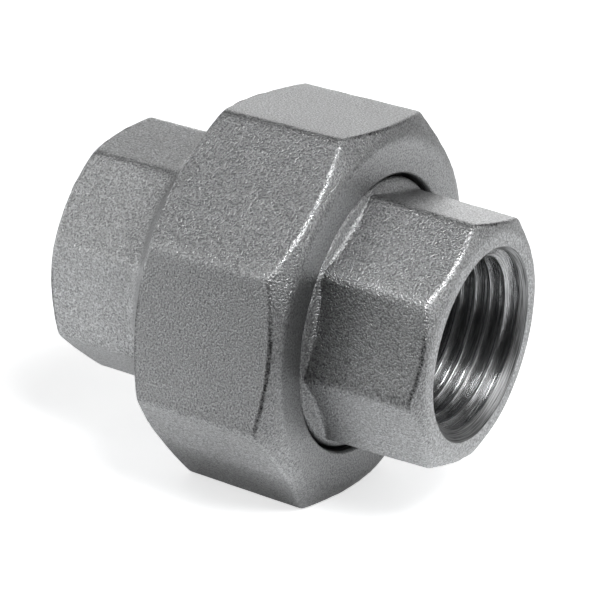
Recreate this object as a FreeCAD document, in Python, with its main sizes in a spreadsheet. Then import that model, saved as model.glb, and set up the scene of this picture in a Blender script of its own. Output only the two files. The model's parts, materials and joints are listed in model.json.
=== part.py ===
"""Pipe union, 1/2 inch, female by female, octagonal pattern, in cast stainless steel.

Frame, in millimetres: +X runs along the union's axis from the head to the tail, +Z is up, and the
origin is on the axis, in the plane of the head's sealing face. The nut rests on one of its flats.

Four pieces: the head with the male union thread, the flat gasket, the tail with the collar that the
nut pulls against, and the nut. The head and nut carry matching right-hand helical threads with a
little play. Both pipe sockets are plain bores at the crest diameter of their thread.
"""

import FreeCAD, Part
import math
import os

import Sketcher

# Driving dimensions: alias, value, what it is. Lengths are millimetres and angles are degrees.
SIZES = [
    ("nut_across_flats", 42.0, "nut, distance between opposite flats"),
    ("nut_length", 18.0, "nut, from end face to end face"),
    ("nut_hole_dia", 31.3, "hole in the nut's lip"),
    ("nut_lip", 4.0, "thickness of the lip that pulls on the collar"),
    ("nut_relief", 2.0, "length of the thread relief behind the lip"),
    ("relief_depth", 0.2, "how far the relief lies beyond the thread's root"),
    ("nut_corner_radius", 1.6, "rounding of the nut's long edges"),
    ("nut_face_share", 0.94, "circle where the corner chamfers meet the end face, over half the flats"),
    ("end_across_flats", 27.3, "octagons of the head and the tail"),
    ("end_corner_radius", 1.7, "rounding of the long edges of those octagons"),
    ("end_face_share", 0.93, "circle where the end chamfers meet the end face, over half the flats"),
    ("chamfer_angle", 30.0, "corner chamfers, measured from the end face"),
    ("head_length", 25.0, "head, from its sealing face to its outer end"),
    ("head_clocking", 10.4, "turn of the head's octagon against the nut's"),
    ("thread_length", 8.0, "male union thread, from the sealing face"),
    ("runout_length", 1.6, "groove where the male thread ends"),
    ("runout_depth", 0.1, "how far that groove lies under the thread's root"),
    ("shoulder_length", 0.8, "plain shoulder behind that groove"),
    ("cone_slope", 0.77, "length over radius of the cone from the shoulder down to the octagon"),
    ("overlap", 1.0, "how far one feature of a piece is sunk into the next"),
    ("union_thread_dia", 36.0, "nominal diameter of the union thread"),
    ("union_pitch", 2.0, "pitch of the union thread"),
    ("union_entry", 0.9, "where the cutter of the male thread starts, past the thread's end"),
    ("union_flank", 30.0, "flank angle of the union thread"),
    ("union_flat", 0.25, "flat at the bottom of the union thread's groove"),
    ("male_depth", 1.3, "depth of the male union thread"),
    ("female_depth", 1.08, "depth of the female union thread"),
    ("female_turns", 7.0, "turns of the cutter that makes the female union thread"),
    ("union_play", 0.15, "radial play left between the two union threads, each side"),
    ("tail_end", 22.15, "outer end of the tail, from the head's sealing face"),
    ("tail_clocking", -8.3, "turn of the tail's octagon against the nut's"),
    ("tail_draft", 1.2, "casting draft of the tail's octagon"),
    ("collar_dia", 33.5, "collar of the tail, inside the nut"),
    ("boss_dia", 30.4, "round boss of the tail, in the nut's hole"),
    ("boss_face", 8.7, "where the boss ends and the tail's octagon begins"),
    ("flare_length", 1.3, "cone from the boss down to the tail's octagon"),
    ("turning_gap", 0.05, "gap between the tail's collar and the nut's lip"),
    ("gasket_outer_dia", 31.0, "gasket"),
    ("gasket_inner_dia", 19.0, "gasket"),
    ("gasket_thickness", 1.5, "gasket"),
    ("passage_dia", 17.0, "passage through both end pieces"),
    ("socket_depth", 14.0, "threaded pipe socket, with its mouth chamfer"),
    ("socket_crest_dia", 18.631, "crest circle of the 1/2 inch parallel pipe thread"),
    ("socket_mouth_dia", 21.7, "chamfered mouth of the socket"),
    ("edge_break", 0.4, "small chamfers on turned edges"),
    ("spill", 1.1, "reach of a cutting outline past what it cuts, as a share of it"),
]

SIDE_COUNT = 8
SIDE_ANGLE = 360 / SIDE_COUNT
ON_AXIS = 1e-9  # a coordinate smaller than this lies on the sketch's axis


# ---------------------------------------------------------------- sheet and sketch helpers


def make_sheet(doc):
    """The spreadsheet of driving dimensions: name, value and meaning, one row each."""
    sheet = doc.addObject("Spreadsheet::Sheet", "Sizes")
    for row, (alias, value, meaning) in enumerate(SIZES, start=1):
        sheet.set(f"A{row}", alias)
        sheet.set(f"B{row}", str(value))
        sheet.setAlias(f"B{row}", alias)
        sheet.set(f"C{row}", meaning)
    doc.recompute()
    return sheet


def origin_plane(body, role):
    return next(feature for feature in body.Origin.OriginFeatures if feature.Role == role)


def new_sketch(body, name, role):
    sketch = body.newObject("Sketcher::SketchObject", name)
    sketch.AttachmentSupport = (origin_plane(body, role), "")
    sketch.MapMode = "FlatFace"
    return sketch


def pin_coordinate(sketch, kind, line, point, number, expression):
    """Hold one coordinate of a line's start (point 1) or end (point 2) at a sheet expression."""
    if abs(number) < ON_AXIS:
        axis = -2 if kind == "DistanceX" else -1
        sketch.addConstraint(Sketcher.Constraint("PointOnObject", line, point, axis))
        return
    index = sketch.addConstraint(Sketcher.Constraint(kind, -1, 1, line, point, number))
    sketch.setExpression(f"Constraints[{index}]", expression)


def outline(body, name, role, corners):
    """A closed outline of straight lines. Each corner is a pair of sheet expressions."""
    sketch = new_sketch(body, name, role)
    numbers = [[float(sketch.evalExpression(text)) for text in corner] for corner in corners]
    points = [FreeCAD.Vector(u, v, 0) for u, v in numbers]
    count = len(points)
    for line in range(count):
        sketch.addGeometry(Part.LineSegment(points[line], points[(line + 1) % count]))
    for line in range(count):
        sketch.addConstraint(Sketcher.Constraint("Coincident", line, 2, (line + 1) % count, 1))
    for line, ((u, v), (u_text, v_text)) in enumerate(zip(numbers, corners)):
        pin_coordinate(sketch, "DistanceX", line, 1, u, u_text)
        pin_coordinate(sketch, "DistanceY", line, 1, v, v_text)
    return sketch


def rounded_octagon(body, name, across_flats, corner_radius, station, clocking):
    """A regular octagon with rounded corners, across the axis at a station.

    A flat faces downwards before the clocking turn. Each side is a line whose two ends are pinned
    by coordinates, and each corner is an arc of the given radius between two of those ends.
    """
    sketch = new_sketch(body, name, "YZ_Plane")
    apothem = f"{across_flats} / 2"
    half_side = f"({apothem} - {corner_radius}) * tan({SIDE_ANGLE / 2} deg)"
    radius = float(sketch.evalExpression(corner_radius))
    sides = []
    for side in range(SIDE_COUNT):
        turn = f"{SIDE_ANGLE * side} deg"
        ends = []
        for sign in ("-", "+"):
            u = f"{apothem} * cos({turn}) {'+' if sign == '-' else '-'} {half_side} * sin({turn})"
            v = f"{apothem} * sin({turn}) {sign} {half_side} * cos({turn})"
            ends.append((u, v))
        sides.append(ends)
    points = [
        [FreeCAD.Vector(*(float(sketch.evalExpression(text)) for text in end), 0) for end in ends]
        for ends in sides
    ]
    for start, end in points:
        sketch.addGeometry(Part.LineSegment(start, end))
    for side in range(SIDE_COUNT):
        start, end = points[side][1], points[(side + 1) % SIDE_COUNT][0]
        middle = (start + end) * 0.5
        outward = FreeCAD.Vector(middle).normalize()
        sagitta = radius * (1 - math.cos(math.radians(SIDE_ANGLE / 2)))
        sketch.addGeometry(Part.Arc(start, middle + outward * sagitta, end))
    for side in range(SIDE_COUNT):
        for point, ends in enumerate(sides[side], start=1):
            position = points[side][point - 1]
            pin_coordinate(sketch, "DistanceX", side, point, position.x, ends[0])
            pin_coordinate(sketch, "DistanceY", side, point, position.y, ends[1])
    for side in range(SIDE_COUNT):
        arc = SIDE_COUNT + side
        sketch.addConstraint(Sketcher.Constraint("Coincident", side, 2, arc, 1))
        sketch.addConstraint(Sketcher.Constraint("Coincident", arc, 2, (side + 1) % SIDE_COUNT, 1))
        index = sketch.addConstraint(Sketcher.Constraint("Radius", arc, radius))
        sketch.setExpression(f"Constraints[{index}]", corner_radius)
    sketch.setExpression("AttachmentOffset.Base.z", station)
    sketch.setExpression("AttachmentOffset.Rotation.Angle", clocking)
    return sketch


# ---------------------------------------------------------------- feature helpers


def turned(body, name, corners):
    """Material added by turning an outline, given as (station, radius) pairs, about the axis."""
    sketch = outline(body, f"{name}_outline", "XY_Plane", corners)
    feature = body.newObject("PartDesign::Revolution", name)
    feature.Profile = sketch
    feature.ReferenceAxis = (sketch, ["H_Axis"])
    feature.Angle = 360
    return feature


def turned_cut(body, name, corners):
    """Material removed by turning an outline about the axis."""
    sketch = outline(body, f"{name}_outline", "XY_Plane", corners)
    feature = body.newObject("PartDesign::Groove", name)
    feature.Profile = sketch
    feature.ReferenceAxis = (sketch, ["H_Axis"])
    feature.Angle = 360
    return feature


def octagon_prism(body, across_flats, corner_radius, start, length, clocking="0", draft="0"):
    """An octagonal prism along +X from a station, narrowing by the draft angle."""
    sketch = rounded_octagon(body, "Octagon_outline", across_flats, corner_radius, start, clocking)
    feature = body.newObject("PartDesign::Pad", "Octagon")
    feature.Profile = sketch
    feature.setExpression("Length", length)
    feature.setExpression("TaperAngle", f"-({draft})")
    body.Document.recompute()
    return feature


def corner_chamfer(body, name, end, inward, across_flats, face_share):
    """Cut the prism's corners off conically at one end. Inward is + or -, away from that end."""
    start = f"{across_flats} / 2 * {face_share}"
    outer = f"{across_flats} / 2 * Sizes.spill"
    drop = f"({outer} - {start}) * tan(Sizes.chamfer_angle * 1 deg)"
    return turned_cut(body, name, [(end, start), (end, outer), (f"{end} {inward} {drop}", outer)])


def helical_groove(body, name, start, travel, pitch, crest, root, root_width, flank_angle):
    """A right-hand thread groove along +X, cut from beyond the crest radius down to the root."""
    spill = f"({root} + ({crest} - {root}) * Sizes.spill)"
    half_root = f"{root_width} / 2"
    half_spill = f"({half_root} + abs({spill} - {root}) * tan({flank_angle} * 1 deg))"
    corners = [
        (f"{start} - {half_root}", root),
        (f"{start} + {half_root}", root),
        (f"{start} + {half_spill}", spill),
        (f"{start} - {half_spill}", spill),
    ]
    sketch = outline(body, f"{name}_outline", "XY_Plane", corners)
    feature = body.newObject("PartDesign::SubtractiveHelix", name)
    feature.Profile = sketch
    feature.ReferenceAxis = (sketch, ["H_Axis"])
    feature.Mode = "pitch-height-angle"
    feature.setExpression("Pitch", pitch)
    feature.setExpression("Height", travel)
    feature.Refine = False
    body.Document.recompute()
    return feature


def new_body(doc, label):
    body = doc.addObject("PartDesign::Body", label)
    body.Label = label
    body.Placement = FreeCAD.Placement()
    return body


# ---------------------------------------------------------------- shared features


def pipe_socket(body, end, inward, far_end):
    """The pipe socket at one end, and the passage from its bottom to the far end.

    Inward is + or -, the direction along the axis from the socket's mouth into the piece.
    """
    bore = "Sizes.socket_crest_dia / 2"
    mouth = "Sizes.socket_mouth_dia / 2"
    passage = "Sizes.passage_dia / 2"
    bottom = f"{end} {inward} Sizes.socket_depth"
    turned_cut(body, "Socket", [
        (end, "0"),
        (end, mouth),
        (f"{end} {inward} ({mouth} - {bore})", bore),
        (bottom, bore),
        (f"{bottom} {inward} ({bore} - {passage})", passage),
        (far_end, passage),
        (far_end, "0"),
    ])


# ---------------------------------------------------------------- the four pieces


def make_head(doc):
    """Head: male union thread and sealing face on one side, octagon with a pipe socket on the other."""
    body = new_body(doc, "head")
    crest = "(Sizes.union_thread_dia / 2 - Sizes.union_play)"
    root = f"({crest} - Sizes.male_depth)"
    thread_end = "-Sizes.thread_length"
    shoulder = f"{thread_end} - Sizes.runout_length"
    cone = f"{shoulder} - Sizes.shoulder_length"
    neck = "(Sizes.end_across_flats / 2 - Sizes.edge_break)"
    cone_end = f"{cone} - ({crest} - Sizes.edge_break - {neck}) * Sizes.cone_slope"
    octagon_start = "-Sizes.head_length"
    turned(body, "Barrel", [
        (cone_end, "0"),
        (cone_end, neck),
        (cone, f"{crest} - Sizes.edge_break"),
        (shoulder, f"{crest} - Sizes.edge_break"),
        (shoulder, f"{root} - Sizes.runout_depth"),
        (thread_end, f"{root} - Sizes.runout_depth"),
        (thread_end, crest),
        (f"-({crest} - {root})", crest),
        ("0", root),
        ("0", "0"),
    ])
    octagon_prism(
        body, "Sizes.end_across_flats", "Sizes.end_corner_radius", octagon_start,
        f"Sizes.head_length + ({cone_end}) + Sizes.overlap", clocking="Sizes.head_clocking",
    )
    corner_chamfer(body, "EndChamfer", octagon_start, "+", "Sizes.end_across_flats",
                   "Sizes.end_face_share")
    pipe_socket(body, octagon_start, "+", "0")
    helical_groove(
        body, "UnionThread", f"{thread_end} - Sizes.union_entry",
        "Sizes.thread_length + Sizes.union_pitch", "Sizes.union_pitch",
        crest, root, "Sizes.union_flat", "Sizes.union_flank",
    )
    return body


def make_tail(doc):
    """Tail: collar and boss that turn inside the nut, then an octagon with a pipe socket."""
    body = new_body(doc, "tail")
    seat = "Sizes.gasket_thickness"
    collar = "Sizes.collar_dia / 2"
    boss = "Sizes.boss_dia / 2"
    collar_back = "Sizes.nut_length / 2 - Sizes.nut_lip - Sizes.turning_gap"
    neck = "Sizes.end_across_flats / 2 - Sizes.edge_break"
    flare_end = "Sizes.boss_face + Sizes.flare_length"
    turned(body, "CollarAndBoss", [
        (seat, "0"),
        (seat, f"{collar} - Sizes.edge_break"),
        (f"{seat} + Sizes.edge_break", collar),
        (collar_back, collar),
        (collar_back, boss),
        ("Sizes.boss_face - Sizes.edge_break", boss),
        ("Sizes.boss_face", f"{boss} - Sizes.edge_break"),
        (flare_end, neck),
        (flare_end, "0"),
    ])
    octagon_prism(
        body, "Sizes.end_across_flats", "Sizes.end_corner_radius", "Sizes.boss_face - Sizes.overlap",
        "Sizes.tail_end - Sizes.boss_face + Sizes.overlap", clocking="Sizes.tail_clocking",
        draft="Sizes.tail_draft",
    )
    corner_chamfer(body, "EndChamfer", "Sizes.tail_end", "-", "Sizes.end_across_flats",
                   "Sizes.end_face_share")
    pipe_socket(body, "Sizes.tail_end", "-", seat)
    return body


def make_union_nut(doc):
    """Nut: octagonal outside, helical thread inside, and an inward lip at the tail's side."""
    body = new_body(doc, "union_nut")
    back = "-Sizes.nut_length / 2"
    front = "Sizes.nut_length / 2"
    crest = "(Sizes.union_thread_dia / 2 - Sizes.female_depth)"
    relief = "(Sizes.union_thread_dia / 2 + Sizes.relief_depth)"
    hole = "Sizes.nut_hole_dia / 2"
    lip = f"{front} - Sizes.nut_lip"
    octagon_prism(body, "Sizes.nut_across_flats", "Sizes.nut_corner_radius", back, "Sizes.nut_length")
    corner_chamfer(body, "BackChamfer", back, "+", "Sizes.nut_across_flats", "Sizes.nut_face_share")
    corner_chamfer(body, "FrontChamfer", front, "-", "Sizes.nut_across_flats", "Sizes.nut_face_share")
    turned_cut(body, "Inside", [
        (back, "0"),
        (back, relief),
        (f"{back} + ({relief} - {crest})", crest),
        (f"{lip} - Sizes.nut_relief", crest),
        (f"{lip} - Sizes.nut_relief", relief),
        (lip, relief),
        (lip, hole),
        (f"{front} - Sizes.edge_break", hole),
        (front, f"{hole} + Sizes.edge_break"),
        (front, "0"),
    ])
    helical_groove(
        body, "UnionThread",
        "-Sizes.thread_length - Sizes.union_entry - Sizes.union_pitch / 2",
        "Sizes.union_pitch * Sizes.female_turns", "Sizes.union_pitch",
        crest, "Sizes.union_thread_dia / 2", "Sizes.union_flat", "Sizes.union_flank",
    )
    return body


def make_seal_gasket(doc):
    """Gasket: a flat ring between the two sealing faces."""
    body = new_body(doc, "seal_gasket")
    turned(body, "Ring", [
        ("0", "Sizes.gasket_inner_dia / 2"),
        ("0", "Sizes.gasket_outer_dia / 2"),
        ("Sizes.gasket_thickness", "Sizes.gasket_outer_dia / 2"),
        ("Sizes.gasket_thickness", "Sizes.gasket_inner_dia / 2"),
    ])
    return body


# ---------------------------------------------------------------- build, check and export


def check(doc, bodies):
    """Stop unless every object was computed and every piece is one valid solid."""
    for item in doc.Objects:
        if "Invalid" in item.State or "Error" in item.State:
            raise RuntimeError(f"{item.Name} was not computed: {item.State}")
    for body in bodies:
        shape = body.Shape
        if shape.isNull() or not shape.isValid() or len(shape.Solids) != 1:
            raise RuntimeError(f"{body.Label} is not one valid solid")


def main():
    doc = FreeCAD.newDocument("pipe_union")
    make_sheet(doc)
    bodies = [make_head(doc), make_seal_gasket(doc), make_tail(doc), make_union_nut(doc)]
    doc.recompute()
    check(doc, bodies)
    os.makedirs("parts", exist_ok=True)
    for body in bodies:
        body.Shape.exportStep(f"parts/{body.Label}.step")
        print(body.Label, round(body.Shape.Volume, 1), body.Shape.BoundBox)


main()
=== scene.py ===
"""Looks of the pipe union: cast octagonal ends and nut, bead blasted, with bright machined threads.

Every piece is one closed mesh of rings about the union's axis, +X. Going from ring to ring follows the
piece's cross-section, outside and then back through its bore, so that octagons, chamfers, soft cast
edges and turned faces are real shapes. Threads are helical: their rings climb one pitch each turn.
"""

import json
import math

import bpy
import numpy as np
from mathutils import Matrix, Vector, noise


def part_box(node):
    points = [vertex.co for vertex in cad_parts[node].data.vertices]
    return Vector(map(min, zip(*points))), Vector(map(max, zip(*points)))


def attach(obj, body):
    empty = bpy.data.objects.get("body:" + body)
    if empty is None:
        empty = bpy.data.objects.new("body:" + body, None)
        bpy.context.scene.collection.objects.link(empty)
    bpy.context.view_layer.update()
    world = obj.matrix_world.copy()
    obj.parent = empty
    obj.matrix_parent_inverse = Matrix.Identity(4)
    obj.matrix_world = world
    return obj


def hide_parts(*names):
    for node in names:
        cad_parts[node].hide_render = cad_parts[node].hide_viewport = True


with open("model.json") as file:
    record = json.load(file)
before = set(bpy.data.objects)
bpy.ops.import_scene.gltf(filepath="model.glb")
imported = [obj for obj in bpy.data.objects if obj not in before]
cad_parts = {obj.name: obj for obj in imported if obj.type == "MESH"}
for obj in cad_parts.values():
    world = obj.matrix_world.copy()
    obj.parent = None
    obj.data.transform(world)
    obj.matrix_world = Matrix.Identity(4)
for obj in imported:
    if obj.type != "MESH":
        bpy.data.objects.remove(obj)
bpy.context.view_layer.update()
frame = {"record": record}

MM = 0.001
TURN = 2 * math.pi
SIDES = 8
SECTOR = TURN / SIDES

# ---------------------------------------------------------------- sizes

# The boxes and mounts come from the frame. Crests, roots, circles, holes, mouths and reliefs are given by
# their radius, and so is the passage. A name that ends in EDGE or FILLET says how far from its corner a
# rounding starts.

NUT_LOW, NUT_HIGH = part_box("union_nut")
HEAD_LOW, HEAD_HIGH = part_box("head")
TAIL_LOW, TAIL_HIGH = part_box("tail")
RING_LOW, RING_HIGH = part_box("seal_gasket")
MOUNTS = {mount["name"]: mount for mount in frame["record"]["mounts"]}

CHAMFER_SLOPE = math.tan(math.radians(30))

NUT_APOTHEM = -NUT_LOW.z
NUT_CORNER_RADIUS = 1.6 * MM
NUT_FACE_CIRCLE = 0.94 * NUT_APOTHEM
NUT_HOLE = 15.65 * MM
HOLE_BREAK = 0.2 * MM
NUT_LIP = 4.0 * MM
NUT_RELIEF = 18.2 * MM
NUT_RELIEF_LENGTH = 2.0 * MM
NUT_FACE_EDGE = 0.65 * MM

END_APOTHEM = 13.65 * MM
END_CORNER_RADIUS = 1.7 * MM
END_FACE_CIRCLE = 0.93 * END_APOTHEM
END_FACE_EDGE = 0.5 * MM
HEAD_CLOCKING = math.radians(10.4)
TAIL_CLOCKING = math.radians(-8.3)
TAIL_DRAFT = math.tan(math.radians(1.2))

UNION_PITCH = 2.0 * MM
MALE_CREST = HEAD_HIGH.z
MALE_ROOT = MALE_CREST - 1.3 * MM
MALE_GROOVE = -8.9 * MM  # where the middle of a groove lies at angle 0
MALE_FLATS = (1 / 8, 1 / 8)  # the flats of a root and of a crest, as shares of the pitch
FEMALE_CREST = 16.92 * MM
FEMALE_ROOT = 18.0 * MM
FEMALE_GROOVE = MALE_GROOVE + UNION_PITCH / 2
FEMALE_FLATS = (1 / 8, 1 / 4)
BEVEL_SLOPE = 1.7  # radius over length of the bevel at the inner end of both union threads
THREAD_END = -8.0 * MM
RUNOUT_END = -9.6 * MM
RUNOUT_RADIUS = MALE_ROOT - 0.1 * MM
SHOULDER_END = -10.4 * MM
SHOULDER_RADIUS = 17.45 * MM
SHOULDER_EDGE = 0.35 * MM
CONE_SLOPE = 0.77  # length over radius of the cone from the shoulder down to the head's octagon
CONE_FILLET = 1.3 * MM
SEAT_MIDDLE = 12.5 * MM  # where the head's path starts and ends, in the middle of its sealing face

COLLAR_RADIUS = TAIL_HIGH.z
BOSS_RADIUS = 15.2 * MM
BOSS_END = 8.7 * MM
DRAFT_START = BOSS_END - 1.0 * MM
TAIL_FACE_CIRCLE = END_FACE_CIRCLE - 0.2 * MM
FLARE_RADIUS = 14.8 * MM
FLARE_SLOPE = 0.35  # length over radius of the cone from the boss down to the octagon
FLARE_FILLET = 0.9 * MM
TURNING_GAP = 0.05 * MM
EDGE_BREAK = 0.4 * MM
SHARP_EDGE = 0.1 * MM
EASED_EDGE = 0.15 * MM
TURNED_FILLET = 0.2 * MM
WORN_EDGE = 0.36 * MM

SOCKET_CREST = MOUNTS["tail_socket"]["dims"]["r_mm"] * MM
SOCKET_PITCH = 25.4 / 14 * MM
SOCKET_ROOT = SOCKET_CREST + 0.64 * SOCKET_PITCH  # a pipe thread is 0.64 of its pitch deep
SOCKET_FLATS = (1 / 6, 1 / 6)
SOCKET_MOUTH = 10.85 * MM
SOCKET_DEPTH = 14.0 * MM
SOCKET_FADE = 1.5 * SOCKET_PITCH  # the length over which the thread runs out at the bottom
SOCKET_START = 0.25  # where the socket thread's groove lies against the mouth, in turns about the axis
PASSAGE = 8.5 * MM
GASKET_HOLE = 9.5 * MM
GASKET_COLUMNS = 180

CAST, TURNED = 0, 1  # a metal piece's two material slots
WIDE_ROUNDING = 0.4 * MM  # corners rounded from at least this far away show no rubbed line
LONG_EDGE_WEAR = 0.45  # how much the octagons' long edges are rubbed, next to the sharper ones
LONG_EDGE_WIDTH = 0.9 * MM
OUTLINE_SHARE = 0.985  # points further out than this share of the apothem are on the octagon
MOST_RUB_AND_SHEEN = math.radians(140)  # where the edges are rubbed most and carry the most painted highlight, about the axis from a flat
RUB_AND_SHEEN_MEAN, RUB_AND_SHEEN_SWING = 0.2, 1.5  # how the rubbing and its painted highlight change around the octagon, on a scale up to 1
MOST_PAINTED_DARK = 0.9  # the painted dark reflection on the dullest edges, on the same scale
TOP_RUB_AND_SHEEN, LEAST_RUB_AND_SHEEN = 0.6, 0.15  # the rubbing and painted highlight at the middle's height, and the least of them underneath
THREAD_POLISH = 0.8  # how far a thread's flanks are polished, from 0 to 1

ROUNDING_ROOM = 0.45  # how much of a straight part each of its two roundings may take
MARGIN = 0.1 * MM  # how near the ends of a straight part its outer rows of points lie
MARGIN_ROOM = 0.4  # how much of a step between rings the margin may take
SNAP = 0.03 * MM  # thread points nearer than this to an end ring are joined to it
TINY = 1e-7


# ---------------------------------------------------------------- rings about the axis


def octagon_radius(angles, apothem, corner_radius, clocking):
    """Distance from the axis to a rounded octagon, at angles about +X measured from +Y."""
    from_flat = (angles - clocking + SECTOR / 2) % SECTOR - SECTOR / 2
    half_side = (apothem - corner_radius) * math.tan(SECTOR / 2)
    centre = (apothem - corner_radius) / math.cos(SECTOR / 2)
    from_corner = SECTOR / 2 - np.abs(from_flat)
    inside = np.maximum(corner_radius**2 - (centre * np.sin(from_corner)) ** 2, 0)
    rounded = centre * np.cos(from_corner) + np.sqrt(inside)
    flat = apothem / np.cos(from_flat)
    return np.where(apothem * np.abs(np.tan(from_flat)) <= half_side, flat, rounded)


def column_angles(apothem, corner_radius, clocking, flat_steps=12, corner_steps=10):
    """Angles of a piece's columns over one turn, crowded at the octagon's rounded corners."""
    crowding = 0.85  # below 1, a flat's columns crowd towards its corners
    half_side = (apothem - corner_radius) * math.tan(SECTOR / 2)
    edge = math.atan2(half_side, apothem)
    half_flat = np.linspace(0, 1, flat_steps, endpoint=False) ** crowding * edge
    corner = np.linspace(edge, SECTOR - edge, corner_steps, endpoint=False)
    other_half = np.append(SECTOR - edge, SECTOR - half_flat[:0:-1])
    sector = np.concatenate([half_flat, corner, other_half])
    turn = np.concatenate([sector + SECTOR * side for side in range(SIDES)])
    return clocking + np.append(turn, TURN)


def thread_phases(root_flat, crest_flat, rounding=0.022):
    """Key places along one pitch of a thread profile, each with its height from root to crest.

    Places run from one groove's middle (0) to the next (1). The flats are shares of the pitch.
    """
    root_edge = root_flat / 2
    crest_edge = 0.5 - crest_flat / 2

    def height(place):
        taps = [place - rounding, place, place + rounding]
        shares = [(tap - root_edge) / (crest_edge - root_edge) for tap in taps]
        return sum(min(max(share, 0), 1) for share in shares) / len(taps)

    half = [0, root_edge - rounding, root_edge, root_edge + rounding, 0.25,
            crest_edge - rounding, crest_edge, crest_edge + rounding]
    up = [(place, height(place)) for place in half]
    down = [(1 - place, share) for place, share in reversed(up[1:])]
    return up + [(0.5, 1.0)] + down


def full(station):
    """A thread cut to its whole depth everywhere."""
    return np.ones_like(station)


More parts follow.
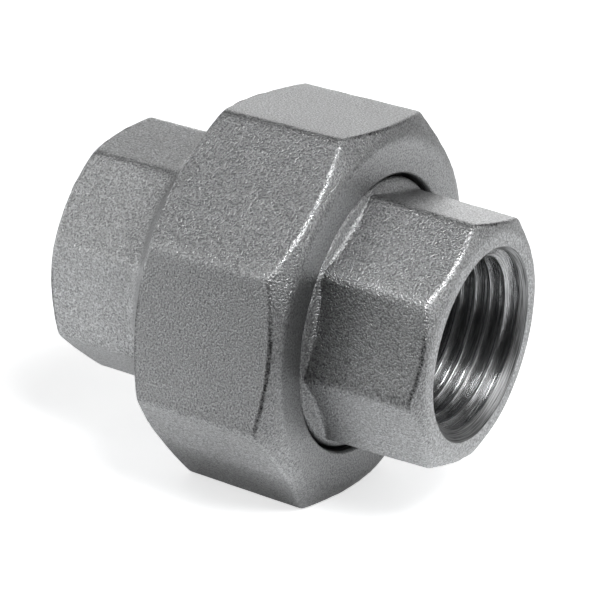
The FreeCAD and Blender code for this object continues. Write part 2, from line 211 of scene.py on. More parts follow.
class RingMesh:
    """A closed surface made of rings. Its path keeps the material on the left hand side, seen with
    +X to the right and the radius upwards: outside towards -X, then back through the bore."""

    def __init__(self, angles):
        self.angles = angles
        self.points = []
        self.faces = []
        self.finishes = []
        self.first_ring = None
        self.last_ring = None
        self.count = 0

    def add_points(self, stations, radii, angles, wear_and_painted_light, cast):
        """Store points and return their numbers. Wear, with the painted edge light it carries, and cast
        are shares from 0 to 1.
        """
        columns = np.broadcast_arrays(stations, radii, angles, wear_and_painted_light, cast)
        self.points.append(np.stack(columns, axis=1).astype(float))
        numbers = self.count + np.arange(len(columns[0]))
        self.count += len(numbers)
        return numbers

    def add_ring(self, stations, radii, wear_and_painted_light=0.0, cast=0.0):
        """A ring across all columns. Its numbers end with the first one again."""
        size = len(self.angles)
        stations, radii, wear_and_painted_light = (np.broadcast_to(item, size)[:-1] for item in (stations, radii, wear_and_painted_light))
        numbers = self.add_points(stations, radii, self.angles[:-1], wear_and_painted_light, cast)
        return np.append(numbers, numbers[0])

    def join(self, ring, finish):
        """Continue the surface from the last ring to this one. Points may coincide."""
        if self.last_ring is None:
            self.first_ring = ring
        else:
            self.add_strip(self.last_ring, ring, finish)
        self.last_ring = ring

    def add_strip(self, ring, following, finish):
        """Faces between two rings: quads, and triangles where the rings share a point."""
        corners = np.stack([ring[:-1], following[:-1], following[1:], ring[1:]], axis=1)
        for face in corners.tolist():
            distinct = list(dict.fromkeys(face))
            if len(distinct) >= 3:
                self.faces.append(distinct)
                self.finishes.append(finish)

    def path(self, corners, finishes, step=0.6 * MM):
        """Straight parts with rounded corners between them, one finish for each part.

        A corner is (station, radius, softness). Station and radius may vary around the axis, and
        softness is how far from the corner its rounding starts. A path that follows another part
        of the surface starts where that part ends, and shares its last ring.
        """
        size = len(self.angles)
        places = [
            np.stack([np.broadcast_to(value, size) for value in corner[:2]], axis=1).astype(float)
            for corner in corners
        ]
        spans = [end - start for start, end in zip(places, places[1:])]
        lengths = [np.maximum(np.linalg.norm(span, axis=1), TINY) for span in spans]
        along = [span / length[:, None] for span, length in zip(spans, lengths)]
        reach = [np.zeros(size)]
        for index in range(1, len(places) - 1):
            room = ROUNDING_ROOM * np.minimum(lengths[index - 1], lengths[index])
            reach.append(np.minimum(corners[index][2], room))
        reach.append(np.zeros(size))
        for index, finish in enumerate(finishes):
            entry = places[index] + along[index] * reach[index][:, None]
            leave = places[index + 1] - along[index] * reach[index + 1][:, None]
            self.straight(entry, leave, finish, step)
            if index + 1 < len(finishes):
                after = places[index + 1] + along[index + 1] * reach[index + 1][:, None]
                turn = along[index][:, 0] * along[index + 1][:, 1]
                turn -= along[index][:, 1] * along[index + 1][:, 0]
                both = (finish, finishes[index + 1])
                sharpness = np.clip(2 * turn, 0, 1) * (corners[index + 1][2] < WIDE_ROUNDING)
                self.corner(leave, places[index + 1], after, sharpness, both)

    def straight(self, entry, leave, finish, step):
        """Evenly spaced rings along a straight part, and one close to each of its ends."""
        length = float(np.mean(np.linalg.norm(leave - entry, axis=1)))
        count = max(1, round(length / step))
        shares = list(np.linspace(0, 1, count + 1))
        margin = MARGIN / max(length, TINY)
        if margin < MARGIN_ROOM / count:
            shares = [0, margin] + shares[1:-1] + [1 - margin, 1]
        for share in shares if self.last_ring is None else shares[1:]:
            place = entry + (leave - entry) * share
            self.join(self.add_ring(place[:, 0], place[:, 1], cast=float(finish == CAST)), finish)

    def corner(self, before, corner, after, convexity, finishes, steps=5):
        """Rings round a corner, on a parabola. Convex corners are worn most in their middle."""
        cast = float(finishes == (CAST, CAST))
        for index in range(1, steps + 1):
            share = index / steps
            place = (1 - share) ** 2 * before + 2 * share * (1 - share) * corner + share**2 * after
            wear_and_painted_light = 4 * share * (1 - share) * convexity
            ring = self.add_ring(place[:, 0], place[:, 1], wear_and_painted_light, cast)
            self.join(ring, finishes[0] if share <= 0.5 else finishes[1])

    def thread(self, start, end, groove, pitch, crest, root, flats, envelope, fullness=full):
        """A right-hand helical thread from the last ring, at the start, to a flat ring at the end.

        Groove is the station of a groove's middle at angle 0. The envelope gives the radius that
        bounds the thread at each station, and so the end rings' radii: from outside on a male
        thread and from inside on a female one. Fullness is the share of the thread's depth that is
        cut at each station. Rows of points climb one pitch a turn, so the last column joins the
        row a whole pitch further on.
        """
        low, high = min(start, end), max(start, end)
        bound = np.minimum if crest > root else np.maximum
        phases = thread_phases(*flats)
        angles = self.angles[:-1]
        climb = pitch * angles / TURN
        first_turn = math.floor((low - groove - climb[0]) / pitch) - 1
        last_turn = math.ceil((high - groove - climb[0]) / pitch) + 1
        end_ring = self.add_ring(end, float(envelope(end)))
        low_ring, high_ring = (self.last_ring, end_ring) if start < end else (end_ring, self.last_ring)
        rows = []
        for turn in range(first_turn, last_turn + 1):
            for phase, height in phases:
                station = groove + pitch * (turn + phase) + climb
                depth = (root - crest) * (1 - height) * fullness(station)
                radius = bound(crest + depth, envelope(station))
                row = np.where(station < low + SNAP, low_ring[:-1], high_ring[:-1])
                inside = (station >= low + SNAP) & (station <= high - SNAP)
                # Flanks are polished; the crests get a little more, as painted highlight.
                polish_and_crest_sheen = THREAD_POLISH + (1 - THREAD_POLISH) * max(0.0, 2 * height - 1)
                wear_and_painted_light = np.where(radius == envelope(station), 0, polish_and_crest_sheen)
                row[inside] = self.add_points(
                    station[inside], radius[inside], angles[inside], wear_and_painted_light[inside], 0
                )
                rows.append(row)
        rings = [low_ring]
        for row, pitch_on in zip(rows, rows[len(phases):]):
            ring = np.append(row, pitch_on[0])
            if (ring != low_ring).any() and (ring != high_ring).any():
                rings.append(ring)
        rings.append(high_ring)
        onward = rings if start < end else rings[::-1]
        for ring in onward[1:]:
            self.join(ring, TURNED)

    def close(self):
        """Sew the last ring onto the first one, which lies in the same place."""
        sewn = dict(zip(self.last_ring.tolist(), self.first_ring.tolist()))
        self.faces = [[sewn.get(number, number) for number in face] for face in self.faces]

    def soften_sides(self, apothem, clocking):
        """Mark wear along the octagon's long edges, on cast points near the outline."""
        points = np.concatenate(self.points)
        from_flat = (points[:, 2] - clocking + SECTOR / 2) % SECTOR - SECTOR / 2
        from_edge = points[:, 1] * np.sin(SECTOR / 2 - np.abs(from_flat))
        outside = points[:, 1] > OUTLINE_SHARE * apothem
        wear_and_painted_light = LONG_EDGE_WEAR * np.exp(-((from_edge / LONG_EDGE_WIDTH) ** 2)) * outside * points[:, 4]
        points[:, 3] = np.maximum(points[:, 3], wear_and_painted_light)
        self.points = [points]

    def rub_and_paint_edges(self, clocking):
        """Rub the edges of every other side bright, most of all on top, and darken those between. Beyond
        real
        rubbing this is painted light: the bright edges on top and on every other side carry painted
        highlight, and the dark edges between are painted dark reflection.

        The painted dark lines are the marks below 0.
        """
        points = np.concatenate(self.points)
        from_most_rub_and_sheen = points[:, 2] - clocking - MOST_RUB_AND_SHEEN
        # Above 0 the share is rubbing with painted highlight; below 0 it paints dark reflection lines.
        share = np.clip(RUB_AND_SHEEN_MEAN + RUB_AND_SHEEN_SWING * np.cos(SIDES / 2 * from_most_rub_and_sheen), -MOST_PAINTED_DARK, 1)
        most_on_top = np.clip(TOP_RUB_AND_SHEEN * (1 + np.sin(points[:, 2])), LEAST_RUB_AND_SHEEN, 1)
        share = np.where(share > 0, share * most_on_top, share)
        points[:, 3] *= np.where(points[:, 4] > 0, share, 1)
        self.points = [points]

    def make(self, name, materials):
        """The Blender object, with its rubbing and painted edge light, and its cast share, kept as point
        attributes.
        """
        points = np.concatenate(self.points)
        used = sorted({number for face in self.faces for number in face})
        renumber = np.full(len(points), -1)
        renumber[used] = np.arange(len(used))
        points = points[used]
        x, radius, angle = points[:, 0], points[:, 1], points[:, 2]
        places = np.stack([x, radius * np.cos(angle), radius * np.sin(angle)], axis=1)
        mesh = bpy.data.meshes.new(name)
        faces = [[int(renumber[number]) for number in face] for face in self.faces]
        mesh.from_pydata(places.tolist(), [], faces)
        for material in materials:
            mesh.materials.append(material)
        mesh.polygons.foreach_set("material_index", self.finishes)
        mesh.polygons.foreach_set("use_smooth", [True] * len(self.faces))
        for label, column in (("wear_and_painted_light", 3), ("cast", 4)):
            attribute = mesh.attributes.new(label, "FLOAT", "POINT")
            attribute.data.foreach_set("value", points[:, column].astype(np.float32))
        mesh.update()
        piece = bpy.data.objects.new(name, mesh)
        bpy.context.scene.collection.objects.link(piece)
        return piece


SWELL_SIZE, SWELL_HEIGHT = 5.5 * MM, 0.035 * MM
PIT_SIZE, PIT_HEIGHT = 1.3 * MM, 0.012 * MM
DENT_HEIGHT = 0.11 * MM
SEED_STEPS = (7.3, 3.1, 5.7)  # how far each seed moves the noise, so that no two pieces match


def roughen(piece, seed):
    """Move cast skin along its normals: slow swells, small pits, and dents on the rubbed edges."""
    mesh = piece.data
    count = len(mesh.vertices)
    places = np.empty(count * 3)
    normals = np.empty(count * 3)
    cast = np.empty(count, np.float32)
    wear_and_painted_light = np.empty(count, np.float32)
    mesh.vertices.foreach_get("co", places)
    mesh.vertex_normals.foreach_get("vector", normals)
    mesh.attributes["cast"].data.foreach_get("value", cast)
    mesh.attributes["wear_and_painted_light"].data.foreach_get("value", wear_and_painted_light)
    places = places.reshape(-1, 3)
    normals = normals.reshape(-1, 3)
    offset = Vector([seed * step for step in SEED_STEPS])
    lift = np.zeros(count)
    for index in np.nonzero(cast > 0)[0]:
        place = Vector(places[index])
        slow = noise.noise(place / SWELL_SIZE + offset)
        quick = noise.noise(place / PIT_SIZE + offset)
        depth = PIT_HEIGHT + DENT_HEIGHT * wear_and_painted_light[index]
        lift[index] = (slow * SWELL_HEIGHT + quick * depth) * cast[index]
    mesh.vertices.foreach_set("co", (places + normals * lift[:, None]).ravel())
    mesh.update()


# ---------------------------------------------------------------- materials

GRAIN_SIZE, GRAIN_HEIGHT = 0.21 * MM, 0.08 * MM
FINE_GRAIN_SIZE, FINE_GRAIN_HEIGHT = 0.12 * MM, 0.018 * MM
GAP_SIZE, GAP_HEIGHT = 0.9 * MM, 0.05 * MM  # breaks in the rubbed edges
PATCH_SIZE = 5.0 * MM
GREY_TINT = (0.99, 1.0, 1.01)  # red, green and blue for each unit of brightness
PAINTED_SHADE_REACH = 6.0 * MM
PAINTED_SHADE_TONE = 0.45  # the tone of the most shaded corner under the painted shade, as a share of the open surface's
FACED_FROM = 0.84  # how square to the axis a surface is where its facing starts, as a cosine
TOOL_MARK_SIZE, TOOL_MARK_HEIGHT = 0.10 * MM, 0.02 * MM
TOOL_MARK_STRETCH = 0.25 * MM  # how far the marks' noise moves on for each radian about the axis
STAIN_SIZE = 2.5 * MM
PLASTIC_CLOUD_SIZE = 3.0 * MM
PLASTIC_MARK_SIZE, PLASTIC_MARK_HEIGHT = 0.4 * MM, 0.02 * MM


class Nodes:
    """A material's node tree, with short ways to add and link nodes."""

    def __init__(self, name):
        self.material = bpy.data.materials.new(name)
        self.material.use_nodes = True
        self.tree = self.material.node_tree
        self.tree.nodes.clear()
        self.output = self.add("ShaderNodeOutputMaterial")
        self.surface = self.add("ShaderNodeBsdfPrincipled")
        self.link(self.surface.outputs["BSDF"], self.output.inputs["Surface"])

    def add(self, kind, **settings):
        node = self.tree.nodes.new(kind)
        for key, value in settings.items():
            setattr(node, key, value)
        return node

    def link(self, source, target):
        self.tree.links.new(source, target)

    def put(self, value, target):
        """Link a node's output, or set a plain value."""
        if isinstance(value, bpy.types.NodeSocket):
            self.link(value, target)
        else:
            target.default_value = value

    def math(self, operation, first, second=0.0, clamp=False):
        """One calculation with two values, which may be plain numbers or other nodes' outputs."""
        node = self.add("ShaderNodeMath", operation=operation, use_clamp=clamp)
        self.put(first, node.inputs[0])
        self.put(second, node.inputs[1])
        return node.outputs[0]

    def spread(self, value, low, high):
        """Map 0 to 1 onto low to high."""
        node = self.add("ShaderNodeMapRange")
        self.put(value, node.inputs["Value"])
        node.inputs["To Min"].default_value = low
        node.inputs["To Max"].default_value = high
        return node.outputs["Result"]

    def steepen(self, value, low, high):
        """Map low to high onto 0 to 1, which also gives a noise clearer contrasts."""
        node = self.add("ShaderNodeMapRange")
        self.put(value, node.inputs["Value"])
        node.inputs["From Min"].default_value = low
        node.inputs["From Max"].default_value = high
        return node.outputs["Result"]

    def position(self):
        return self.add("ShaderNodeTexCoord").outputs["Object"]

    def noise(self, place, size, detail=2.0, roughness=0.5):
        """Noise whose features are about the given size, in metres."""
        node = self.add("ShaderNodeTexNoise")
        self.link(place, node.inputs["Vector"])
        node.inputs["Scale"].default_value = 1 / size
        node.inputs["Detail"].default_value = detail
        node.inputs["Roughness"].default_value = roughness
        return node.outputs["Fac"]

    def openness(self, reach):
        """1 on open surfaces, falling towards 0 in corners and gaps smaller than the reach."""
        node = self.add("ShaderNodeAmbientOcclusion", samples=8)
        node.inputs["Distance"].default_value = reach
        return node.outputs["AO"]

    def seen_directly(self):
        """1 for what the camera sees itself, and 0 in reflections and for the light passed on."""
        return self.add("ShaderNodeLightPath").outputs["Is Camera Ray"]

    def normal_along_axis(self):
        """The surface's normal along X, the union's axis."""
        split = self.add("ShaderNodeSeparateXYZ")
        self.link(self.add("ShaderNodeTexCoord").outputs["Normal"], split.inputs[0])
        return split.outputs["X"]

    def attribute(self, name):
        return self.add("ShaderNodeAttribute", attribute_name=name).outputs["Fac"]

    def bump(self, height, distance, strength=1.0, normal=None):
        node = self.add("ShaderNodeBump")
        self.put(height, node.inputs["Height"])
        self.put(strength, node.inputs["Strength"])
        node.inputs["Distance"].default_value = distance
        if normal is not None:
            self.link(normal, node.inputs["Normal"])
        return node.outputs["Normal"]

    def grey(self, value):
        """A neutral colour, a touch cool, from a brightness."""
        node = self.add("ShaderNodeCombineColor")
        for channel, share in zip(("Red", "Green", "Blue"), GREY_TINT):
            self.link(self.math("MULTIPLY", value, share), node.inputs[channel])
        return node.outputs["Color"]


def cast_steel(name, brightness, facing):
    """Bead-blasted cast stainless steel: a fine pitted grain, rubbed smoother along the edges.

    Facing is how much of the grain is turned off the faces that are square to the axis, and how
    far those faces are darkened as painted shade.
    """
    n = Nodes(name)
    place = n.position()
    along_axis = n.math("ABSOLUTE", n.normal_along_axis())
    faced = n.math("MULTIPLY", n.steepen(along_axis, FACED_FROM, 1.0), facing)
    grained_and_unshaded = n.math("SUBTRACT", 1.0, faced, clamp=True)
    grain = n.steepen(n.noise(place, GRAIN_SIZE, detail=1.5, roughness=0.55), 0.33, 0.67)
    fine = n.steepen(n.noise(place, FINE_GRAIN_SIZE, detail=1.0), 0.3, 0.7)
    patches = n.noise(place, PATCH_SIZE, detail=3.0)
    gaps = n.steepen(n.noise(place, GAP_SIZE, detail=2.0), 0.35, 0.55)
    # The edge marks: real rubbing, with painted highlight and painted dark reflection laid over it.
    rubbed = n.attribute("wear_and_painted_light")
    wear_and_painted_light = n.math("MINIMUM", rubbed, n.math("MULTIPLY", rubbed, n.spread(gaps, 0.2, 1.0)))
    unworn = n.math("SUBTRACT", 1.0, wear_and_painted_light, clamp=True)
    tone = n.math("ADD", n.spread(grain, 0.28, 0.64), n.spread(fine, -0.08, 0.08))
    tone = n.math("ADD", tone, n.spread(patches, -0.03, 0.03))
    # Lighter on rubbed edges, partly as painted highlight, and darker on the painted dark reflection
    # lines.
    tone = n.math("ADD", tone, n.math("MULTIPLY", wear_and_painted_light, 0.28))
    # Painted shade: the tone darkens in corners and gaps, where shade falls.
    painted_shade = n.math("POWER", n.openness(PAINTED_SHADE_REACH), 2.0)
    tone = n.math("MULTIPLY", tone, n.spread(painted_shade, PAINTED_SHADE_TONE * brightness, brightness))
    # Painted shade: faces square to the axis are darkened here, besides losing grain.
    tone = n.math("MULTIPLY", tone, n.spread(grained_and_unshaded, 0.6, 1.0))
    n.link(n.grey(tone), n.surface.inputs["Base Color"])
    n.surface.inputs["Metallic"].default_value = 0.95
    rough = n.math("ADD", n.spread(patches, 0.20, 0.26), n.math("MULTIPLY", unworn, 0.17))
    rough = n.math("MULTIPLY", rough, n.spread(grained_and_unshaded, 0.3, 1.0))
    n.link(rough, n.surface.inputs["Roughness"])
    normal = n.bump(gaps, GAP_HEIGHT, n.math("MAXIMUM", rubbed, 0.0))
    strength = n.math("MULTIPLY", grained_and_unshaded, n.spread(unworn, 0.85, 0.68))
    normal = n.bump(grain, GRAIN_HEIGHT, strength, normal)
    strength = n.math("MULTIPLY", grained_and_unshaded, n.spread(unworn, 0.5, 1.0))
    normal = n.bump(fine, FINE_GRAIN_HEIGHT, strength, normal)
    n.link(normal, n.surface.inputs["Normal"])
    return n.material


def turned_steel(name):
    """Machined stainless steel: bright, with fine tool marks running round the axis."""
    n = Nodes(name)
    place = n.position()
    split = n.add("ShaderNodeSeparateXYZ")
    n.link(place, split.inputs[0])
    x, y, z = split.outputs
    radius = n.math("SQRT", n.math("ADD", n.math("MULTIPLY", y, y), n.math("MULTIPLY", z, z)))
    around = n.math("ARCTAN2", z, y)
    tracks = n.add("ShaderNodeCombineXYZ")
    n.link(x, tracks.inputs["X"])
    n.link(radius, tracks.inputs["Y"])
    n.link(n.math("MULTIPLY", around, TOOL_MARK_STRETCH), tracks.inputs["Z"])
    marks = n.steepen(n.noise(tracks.outputs[0], TOOL_MARK_SIZE, detail=2.0), 0.35, 0.65)
    stains = n.noise(place, STAIN_SIZE, detail=3.0)
    wear_and_painted_light = n.attribute("wear_and_painted_light")
    tone = n.math("ADD", n.spread(stains, 0.20, 0.40), n.spread(marks, -0.18, 0.18))
    # Polished flanks and rubbed edges are lighter; the extra on the thread crests is painted highlight.
    tone = n.math("ADD", tone, n.math("MULTIPLY", wear_and_painted_light, 0.22))
    n.link(n.grey(tone), n.surface.inputs["Base Color"])
    n.surface.inputs["Metallic"].default_value = 1.0
    rough = n.math("ADD", n.spread(wear_and_painted_light, 0.38, 0.12), n.spread(stains, 0.0, 0.08))
    n.link(rough, n.surface.inputs["Roughness"])
    n.link(n.bump(marks, TOOL_MARK_HEIGHT), n.surface.inputs["Normal"])
    return n.material


def sealing_plastic(name):
    """White sealing plastic, slightly waxy, with faint turning marks."""
    n = Nodes(name)
    place = n.position()
    cloud = n.noise(place, PLASTIC_CLOUD_SIZE, detail=3.0)
    n.link(n.grey(n.spread(cloud, 0.78, 0.86)), n.surface.inputs["Base Color"])
    n.surface.inputs["Roughness"].default_value = 0.42
    n.surface.inputs["Subsurface Weight"].default_value = 0.15
    n.surface.inputs["Subsurface Scale"].default_value = 0.6 * MM
    marks = n.noise(place, PLASTIC_MARK_SIZE)
    n.link(n.bump(marks, PLASTIC_MARK_HEIGHT, 0.6), n.surface.inputs["Normal"])
    return n.material


# ---------------------------------------------------------------- the four pieces


def socket(mesh, end, inward):
    """The threaded pipe socket. Inward is +1 or -1 along X, from the mouth into the piece.

    A piece's path runs through its bore towards +X, so the socket of the head is passed from its
    mouth inwards and the socket of the tail from its bottom outwards.
    """
    bottom = end + inward * SOCKET_DEPTH

    def mouth(station):
        return np.maximum(SOCKET_MOUTH - np.abs(station - end), SOCKET_CREST)

    def fullness(station):
        return np.clip(np.abs(station - bottom) / SOCKET_FADE, 0, 1)

    first, last = (end, bottom) if inward > 0 else (bottom, end)
    groove = end + SOCKET_START * SOCKET_PITCH
    mesh.thread(
        first, last, groove, SOCKET_PITCH, SOCKET_CREST, SOCKET_ROOT, SOCKET_FLATS, mouth, fullness
    )


def make_head(cast, turned):
    """Head: sealing face, male union thread, cone, and an octagon with a pipe socket."""
    mesh = RingMesh(column_angles(END_APOTHEM, END_CORNER_RADIUS, HEAD_CLOCKING))
    side = octagon_radius(mesh.angles, END_APOTHEM, END_CORNER_RADIUS, HEAD_CLOCKING)
    end = HEAD_LOW.x
    seat = 0.0
    coarse = 1.5 * MM
    mesh.path([(seat, SEAT_MIDDLE, 0), (seat, MALE_ROOT, 0)], [TURNED], coarse)

    def bevels(station):
        inner_bevel = RUNOUT_RADIUS + BEVEL_SLOPE * (station - THREAD_END)
        return np.minimum(MALE_ROOT + (seat - station), inner_bevel)

    mesh.thread(seat, THREAD_END, MALE_GROOVE, UNION_PITCH, MALE_CREST, MALE_ROOT, MALE_FLATS, bevels)
    foot = SHOULDER_END - (SHOULDER_RADIUS - side) * CONE_SLOPE
    mesh.path(
        [
            (THREAD_END, RUNOUT_RADIUS, 0),
            (RUNOUT_END, RUNOUT_RADIUS, TURNED_FILLET),
            (RUNOUT_END, SHOULDER_RADIUS, EASED_EDGE),
            (SHOULDER_END, SHOULDER_RADIUS, SHOULDER_EDGE),
            (foot, side, CONE_FILLET),
            (end + (side - END_FACE_CIRCLE) * CHAMFER_SLOPE, side, WORN_EDGE),
            (end, END_FACE_CIRCLE, END_FACE_EDGE),
            (end, SOCKET_MOUTH, 0),
        ],
        [TURNED, TURNED, TURNED, CAST, CAST, CAST, CAST],
    )
    socket(mesh, end, +1)
    bottom = end + SOCKET_DEPTH
    narrowing = SOCKET_CREST - PASSAGE
    mesh.path(
        [
            (bottom, SOCKET_CREST, 0),
            (bottom + narrowing, PASSAGE, TURNED_FILLET),
            (seat - EDGE_BREAK, PASSAGE, SHARP_EDGE),
            (seat, PASSAGE + EDGE_BREAK, SHARP_EDGE),
            (seat, SEAT_MIDDLE, 0),
        ],
        [TURNED] * 4,
        coarse,
    )
    return finish_piece(mesh, "head_body", "head", "head", END_APOTHEM, HEAD_CLOCKING, 1, cast, turned)


def make_tail(cast, turned):
    """Tail: an octagon with a pipe socket, then the boss and the collar that turn in the nut."""
    mesh = RingMesh(column_angles(END_APOTHEM, END_CORNER_RADIUS, TAIL_CLOCKING))
    end, seat = TAIL_HIGH.x, TAIL_LOW.x
    apothems = [END_APOTHEM - (station - DRAFT_START) * TAIL_DRAFT for station in (BOSS_END, end)]
    foot_side, end_side = (
        octagon_radius(mesh.angles, apothem, END_CORNER_RADIUS, TAIL_CLOCKING) for apothem in apothems
    )
    collar_back = NUT_HIGH.x - NUT_LIP - TURNING_GAP
    bottom = end - SOCKET_DEPTH
    narrowing = SOCKET_CREST - PASSAGE
    mesh.path(
        [
            (end, SOCKET_MOUTH, 0),
            (end, TAIL_FACE_CIRCLE, END_FACE_EDGE),
            (end - (end_side - TAIL_FACE_CIRCLE) * CHAMFER_SLOPE, end_side, WORN_EDGE),
            (BOSS_END + (FLARE_RADIUS - foot_side) * FLARE_SLOPE, foot_side, FLARE_FILLET),
            (BOSS_END, FLARE_RADIUS, WIDE_ROUNDING),
            (BOSS_END - EDGE_BREAK, BOSS_RADIUS, WIDE_ROUNDING),
            (collar_back, BOSS_RADIUS, SHARP_EDGE),
            (collar_back, COLLAR_RADIUS, EASED_EDGE),
            (seat + EDGE_BREAK, COLLAR_RADIUS, SHARP_EDGE),
            (seat, COLLAR_RADIUS - EDGE_BREAK, SHARP_EDGE),
            (seat, PASSAGE + EDGE_BREAK, SHARP_EDGE),
            (seat + EDGE_BREAK, PASSAGE, SHARP_EDGE),
            (bottom - narrowing, PASSAGE, TURNED_FILLET),
            (bottom, SOCKET_CREST, 0),
        ],
        [CAST] * 6 + [TURNED] * 7,
    )
    socket(mesh, end, -1)
    return finish_piece(mesh, "tail_body", "tail", "tail", END_APOTHEM, TAIL_CLOCKING, 2, cast, turned)


def make_nut(cast, turned):
    """Nut: octagonal outside, female union thread, relief, and the lip with its round hole."""
    mesh = RingMesh(column_angles(NUT_APOTHEM, NUT_CORNER_RADIUS, 0.0, flat_steps=18))
    side = octagon_radius(mesh.angles, NUT_APOTHEM, NUT_CORNER_RADIUS, 0.0)
    front, back = NUT_HIGH.x, NUT_LOW.x
    chamfer = (side - NUT_FACE_CIRCLE) * CHAMFER_SLOPE
    lip = front - NUT_LIP
    thread_top = lip - NUT_RELIEF_LENGTH
    hole_edge = NUT_HOLE + HOLE_BREAK
    mesh.path(
        [
            (front, hole_edge, 0),
            (front, NUT_FACE_CIRCLE, NUT_FACE_EDGE),
            (front - chamfer, side, WORN_EDGE),
            (back + chamfer, side, WORN_EDGE),
            (back, NUT_FACE_CIRCLE, NUT_FACE_EDGE),
            (back, NUT_RELIEF, 0),
        ],
        [CAST] * 5,
    )

    def bevels(station):
        inner_bevel = NUT_RELIEF - BEVEL_SLOPE * (thread_top - station)
        return np.maximum(NUT_RELIEF - (station - back), inner_bevel)

    mesh.thread(
        back, thread_top, FEMALE_GROOVE, UNION_PITCH, FEMALE_CREST, FEMALE_ROOT, FEMALE_FLATS, bevels
    )
    mesh.path(
        [
            (thread_top, NUT_RELIEF, 0),
            (lip, NUT_RELIEF, TURNED_FILLET),
            (lip, NUT_HOLE, SHARP_EDGE),
            (front - HOLE_BREAK, NUT_HOLE, WIDE_ROUNDING),
            (front, hole_edge, 0),
        ],
        [TURNED, TURNED, TURNED, CAST],
    )
    return finish_piece(mesh, "nut_body", "union_nut", "nut", NUT_APOTHEM, 0.0, 3, cast, turned)


def finish_piece(mesh, name, node, body, apothem, clocking, seed, cast, turned):
    """Close a metal piece's mesh, age its skin, paint light and shade along its edges and hang it on its
    body.
    """
    mesh.close()
    mesh.soften_sides(apothem, clocking)
    mesh.rub_and_paint_edges(clocking)
    piece = mesh.make(name, [cast, turned])
    roughen(piece, seed)
    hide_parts(node)
    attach(piece, body)
    return piece


def make_gasket(plastic):
    """Gasket: a flat ring with slightly rounded edges."""
    mesh = RingMesh(np.linspace(0, TURN, GASKET_COLUMNS + 1))
    outer = RING_HIGH.z
    low, high = RING_LOW.x, RING_HIGH.x
    middle = (GASKET_HOLE + outer) / 2
    only_material = 0
    mesh.path(
        [
            (high, middle, 0),
            (high, outer, EASED_EDGE),
            (low, outer, EASED_EDGE),
            (low, GASKET_HOLE, EASED_EDGE),
            (high, GASKET_HOLE, EASED_EDGE),
            (high, middle, 0),
        ],
        [only_material] * 5,
    )
    mesh.close()
    piece = mesh.make("gasket_ring", [plastic])
    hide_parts("seal_gasket")
    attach(piece, "gasket")
    return piece


# ---------------------------------------------------------------- stage, light and camera

# The camera stands where the photograph's did, seen from the nut's middle.
VIEW_AZIMUTH = math.radians(31.33)
VIEW_ELEVATION = math.radians(28.56)
VIEW_TURN = math.radians(10.73)  # the union is turned about its axis, to stand on one of the nut's flats
VIEW_DISTANCE = 13.244 * NUT_APOTHEM
VIEW_SHIFT = (0.047 * NUT_APOTHEM, 0.0089 * NUT_APOTHEM)
LENS = 153.8  # the lens and the sensor in millimetres, as the camera takes them
SENSOR = 36.0

# Softboxes: name, direction from the union (right, up and towards the camera), size, watts.
SOFTBOXES = [
    ("left_softbox", (-1.0, 0.15, 0.1), 0.6, 1.4),
    ("low_left_softbox", (-0.85, 0.0, 0.4), 0.6, 0.6),
    ("top_left_softbox", (-0.48, 0.81, 0.33), 0.6, 0.6),
    ("behind_softbox", (0.0, 0.35, -0.94), 0.6, 2.2),
    ("right_behind_softbox", (0.85, 0.35, -0.5), 0.6, 0.2),
    ("right_softbox", (0.8, 0.35, 0.5), 0.6, 1.2),
    ("key_light", (0.33, 0.57, 0.75), 0.28, 3.0),
]
SOFTBOX_DISTANCE = 0.7
ROOM_LIGHT = 0.03
BACKDROP_LIGHT = 0.9
FLOOR_REACH = 3.0
FLOOR_GAP = 0.03 * MM  # from the nut's lowest flat
FLOOR_TONE = 0.92
FLOOR_GLOW = 0.2
FLOOR_PALENESS = 0.45  # added for the camera only
FLOOR_DARK_TONE = 0.04
FLOOR_DARK_FROM = 10 * MM  # where the floor starts to darken towards the camera, from the union's middle
FLOOR_DARK_TO = 35 * MM


def view_axes():
    """The photographing camera's right, up and back directions in the union's frame."""
    azimuth, elevation = VIEW_AZIMUTH, VIEW_ELEVATION
    back = Vector((
        math.sin(azimuth) * math.cos(elevation),
        -math.cos(azimuth) * math.cos(elevation),
        math.sin(elevation),
    ))
    right = Vector((math.cos(azimuth), math.sin(azimuth), 0))
    turn = Matrix.Rotation(VIEW_TURN, 3, "X")
    right, back = turn @ right, turn @ back
    return right, back.cross(right), back


def make_camera():
    right, up, back = view_axes()
    data = bpy.data.cameras.new("camera")
    data.lens = LENS
    data.sensor_width = SENSOR
    data.clip_start = 0.01
    data.clip_end = 10.0
    camera = bpy.data.objects.new("camera", data)
    place = back * VIEW_DISTANCE - right * VIEW_SHIFT[0] - up * VIEW_SHIFT[1]
    axes = Matrix((right, up, back)).transposed()
    camera.matrix_world = Matrix.Translation(place) @ axes.to_4x4()
    bpy.context.scene.collection.objects.link(camera)
    bpy.context.scene.camera = camera


def make_softbox(name, direction, size, power):
    """A soft square light, facing the union's middle from a direction in view axes."""
    right, up, back = view_axes()
    away = (right * direction[0] + up * direction[1] + back * direction[2]).normalized()
    data = bpy.data.lights.new(name, "AREA")
    data.shape = "SQUARE"
    data.size = size
    data.energy = power
    light = bpy.data.objects.new(name, data)
    light.location = away * SOFTBOX_DISTANCE
    light.rotation_euler = away.to_track_quat("Z", "Y").to_euler()
    bpy.context.scene.collection.objects.link(light)


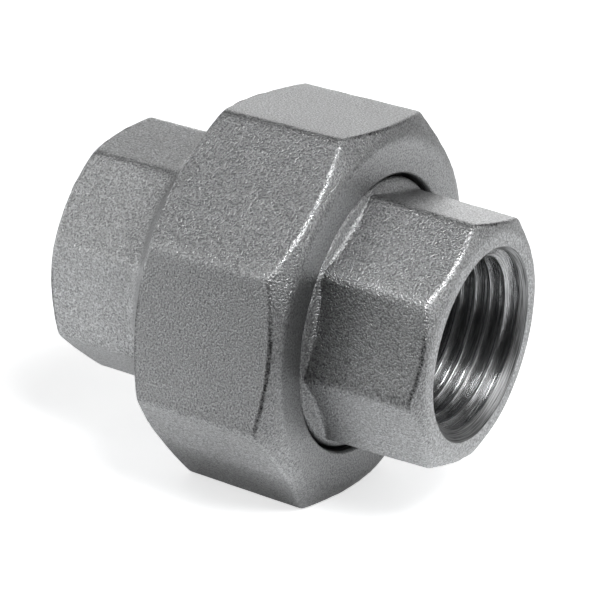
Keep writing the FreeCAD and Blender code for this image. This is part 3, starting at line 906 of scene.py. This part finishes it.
def make_floor():
    """A plain pale floor under the nut's lowest flat.

    It glows a little, like a light table. The camera sees it pale all over, and in reflections it
    darkens towards the camera, as a table does beyond the reach of the softboxes.
    """
    mesh = bpy.data.meshes.new("floor")
    level = NUT_LOW.z - FLOOR_GAP
    sides = [(-1, -1), (1, -1), (1, 1), (-1, 1)]
    corners = [(FLOOR_REACH * x, FLOOR_REACH * y, level) for x, y in sides]
    mesh.from_pydata(corners, [], [(0, 1, 2, 3)])
    n = Nodes("floor_paper")
    towards_camera = n.add("ShaderNodeVectorMath", operation="DOT_PRODUCT")
    n.link(n.position(), towards_camera.inputs[0])
    towards_camera.inputs[1].default_value = view_axes()[2]
    shade = n.steepen(towards_camera.outputs["Value"], FLOOR_DARK_FROM, FLOOR_DARK_TO)
    seen = n.seen_directly()
    dark = n.math("MULTIPLY", shade, n.math("SUBTRACT", 1.0, seen))
    n.link(n.grey(n.spread(dark, FLOOR_TONE, FLOOR_DARK_TONE)), n.surface.inputs["Base Color"])
    n.surface.inputs["Roughness"].default_value = 0.9
    n.surface.inputs["Emission Color"].default_value = (1, 1, 1, 1)
    glow = n.math("ADD", n.spread(dark, FLOOR_GLOW, 0.0), n.math("MULTIPLY", seen, FLOOR_PALENESS))
    n.link(glow, n.surface.inputs["Emission Strength"])
    mesh.materials.append(n.material)
    floor = bpy.data.objects.new("floor", mesh)
    bpy.context.scene.collection.objects.link(floor)


def make_backdrop():
    """A dim room that the camera sees as a pale backdrop."""
    world = bpy.data.worlds.new("studio")
    world.use_nodes = True
    tree = world.node_tree
    background = tree.nodes["Background"]
    background.inputs["Color"].default_value = (1.0, 1.0, 1.0, 1)
    seen = tree.nodes.new("ShaderNodeLightPath").outputs["Is Camera Ray"]
    strength = tree.nodes.new("ShaderNodeMapRange")
    strength.inputs["To Min"].default_value = ROOM_LIGHT
    strength.inputs["To Max"].default_value = BACKDROP_LIGHT
    tree.links.new(seen, strength.inputs["Value"])
    tree.links.new(strength.outputs["Result"], background.inputs["Strength"])
    bpy.context.scene.world = world


def make_studio():
    for name, direction, size, power in SOFTBOXES:
        make_softbox(name, direction, size, power)
    bpy.context.scene.view_settings.view_transform = "Standard"
    make_backdrop()
    make_floor()
    make_camera()


# ---------------------------------------------------------------- scene


end_cast = cast_steel("end_cast_steel", 1.18, facing=0.0)
nut_cast = cast_steel("nut_cast_steel", 1.02, facing=0.4)
bright = turned_steel("turned_steel")
for piece in (make_head(end_cast, bright), make_tail(end_cast, bright)):
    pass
make_nut(nut_cast, bright)
make_gasket(sealing_plastic("sealing_plastic"))
make_studio()
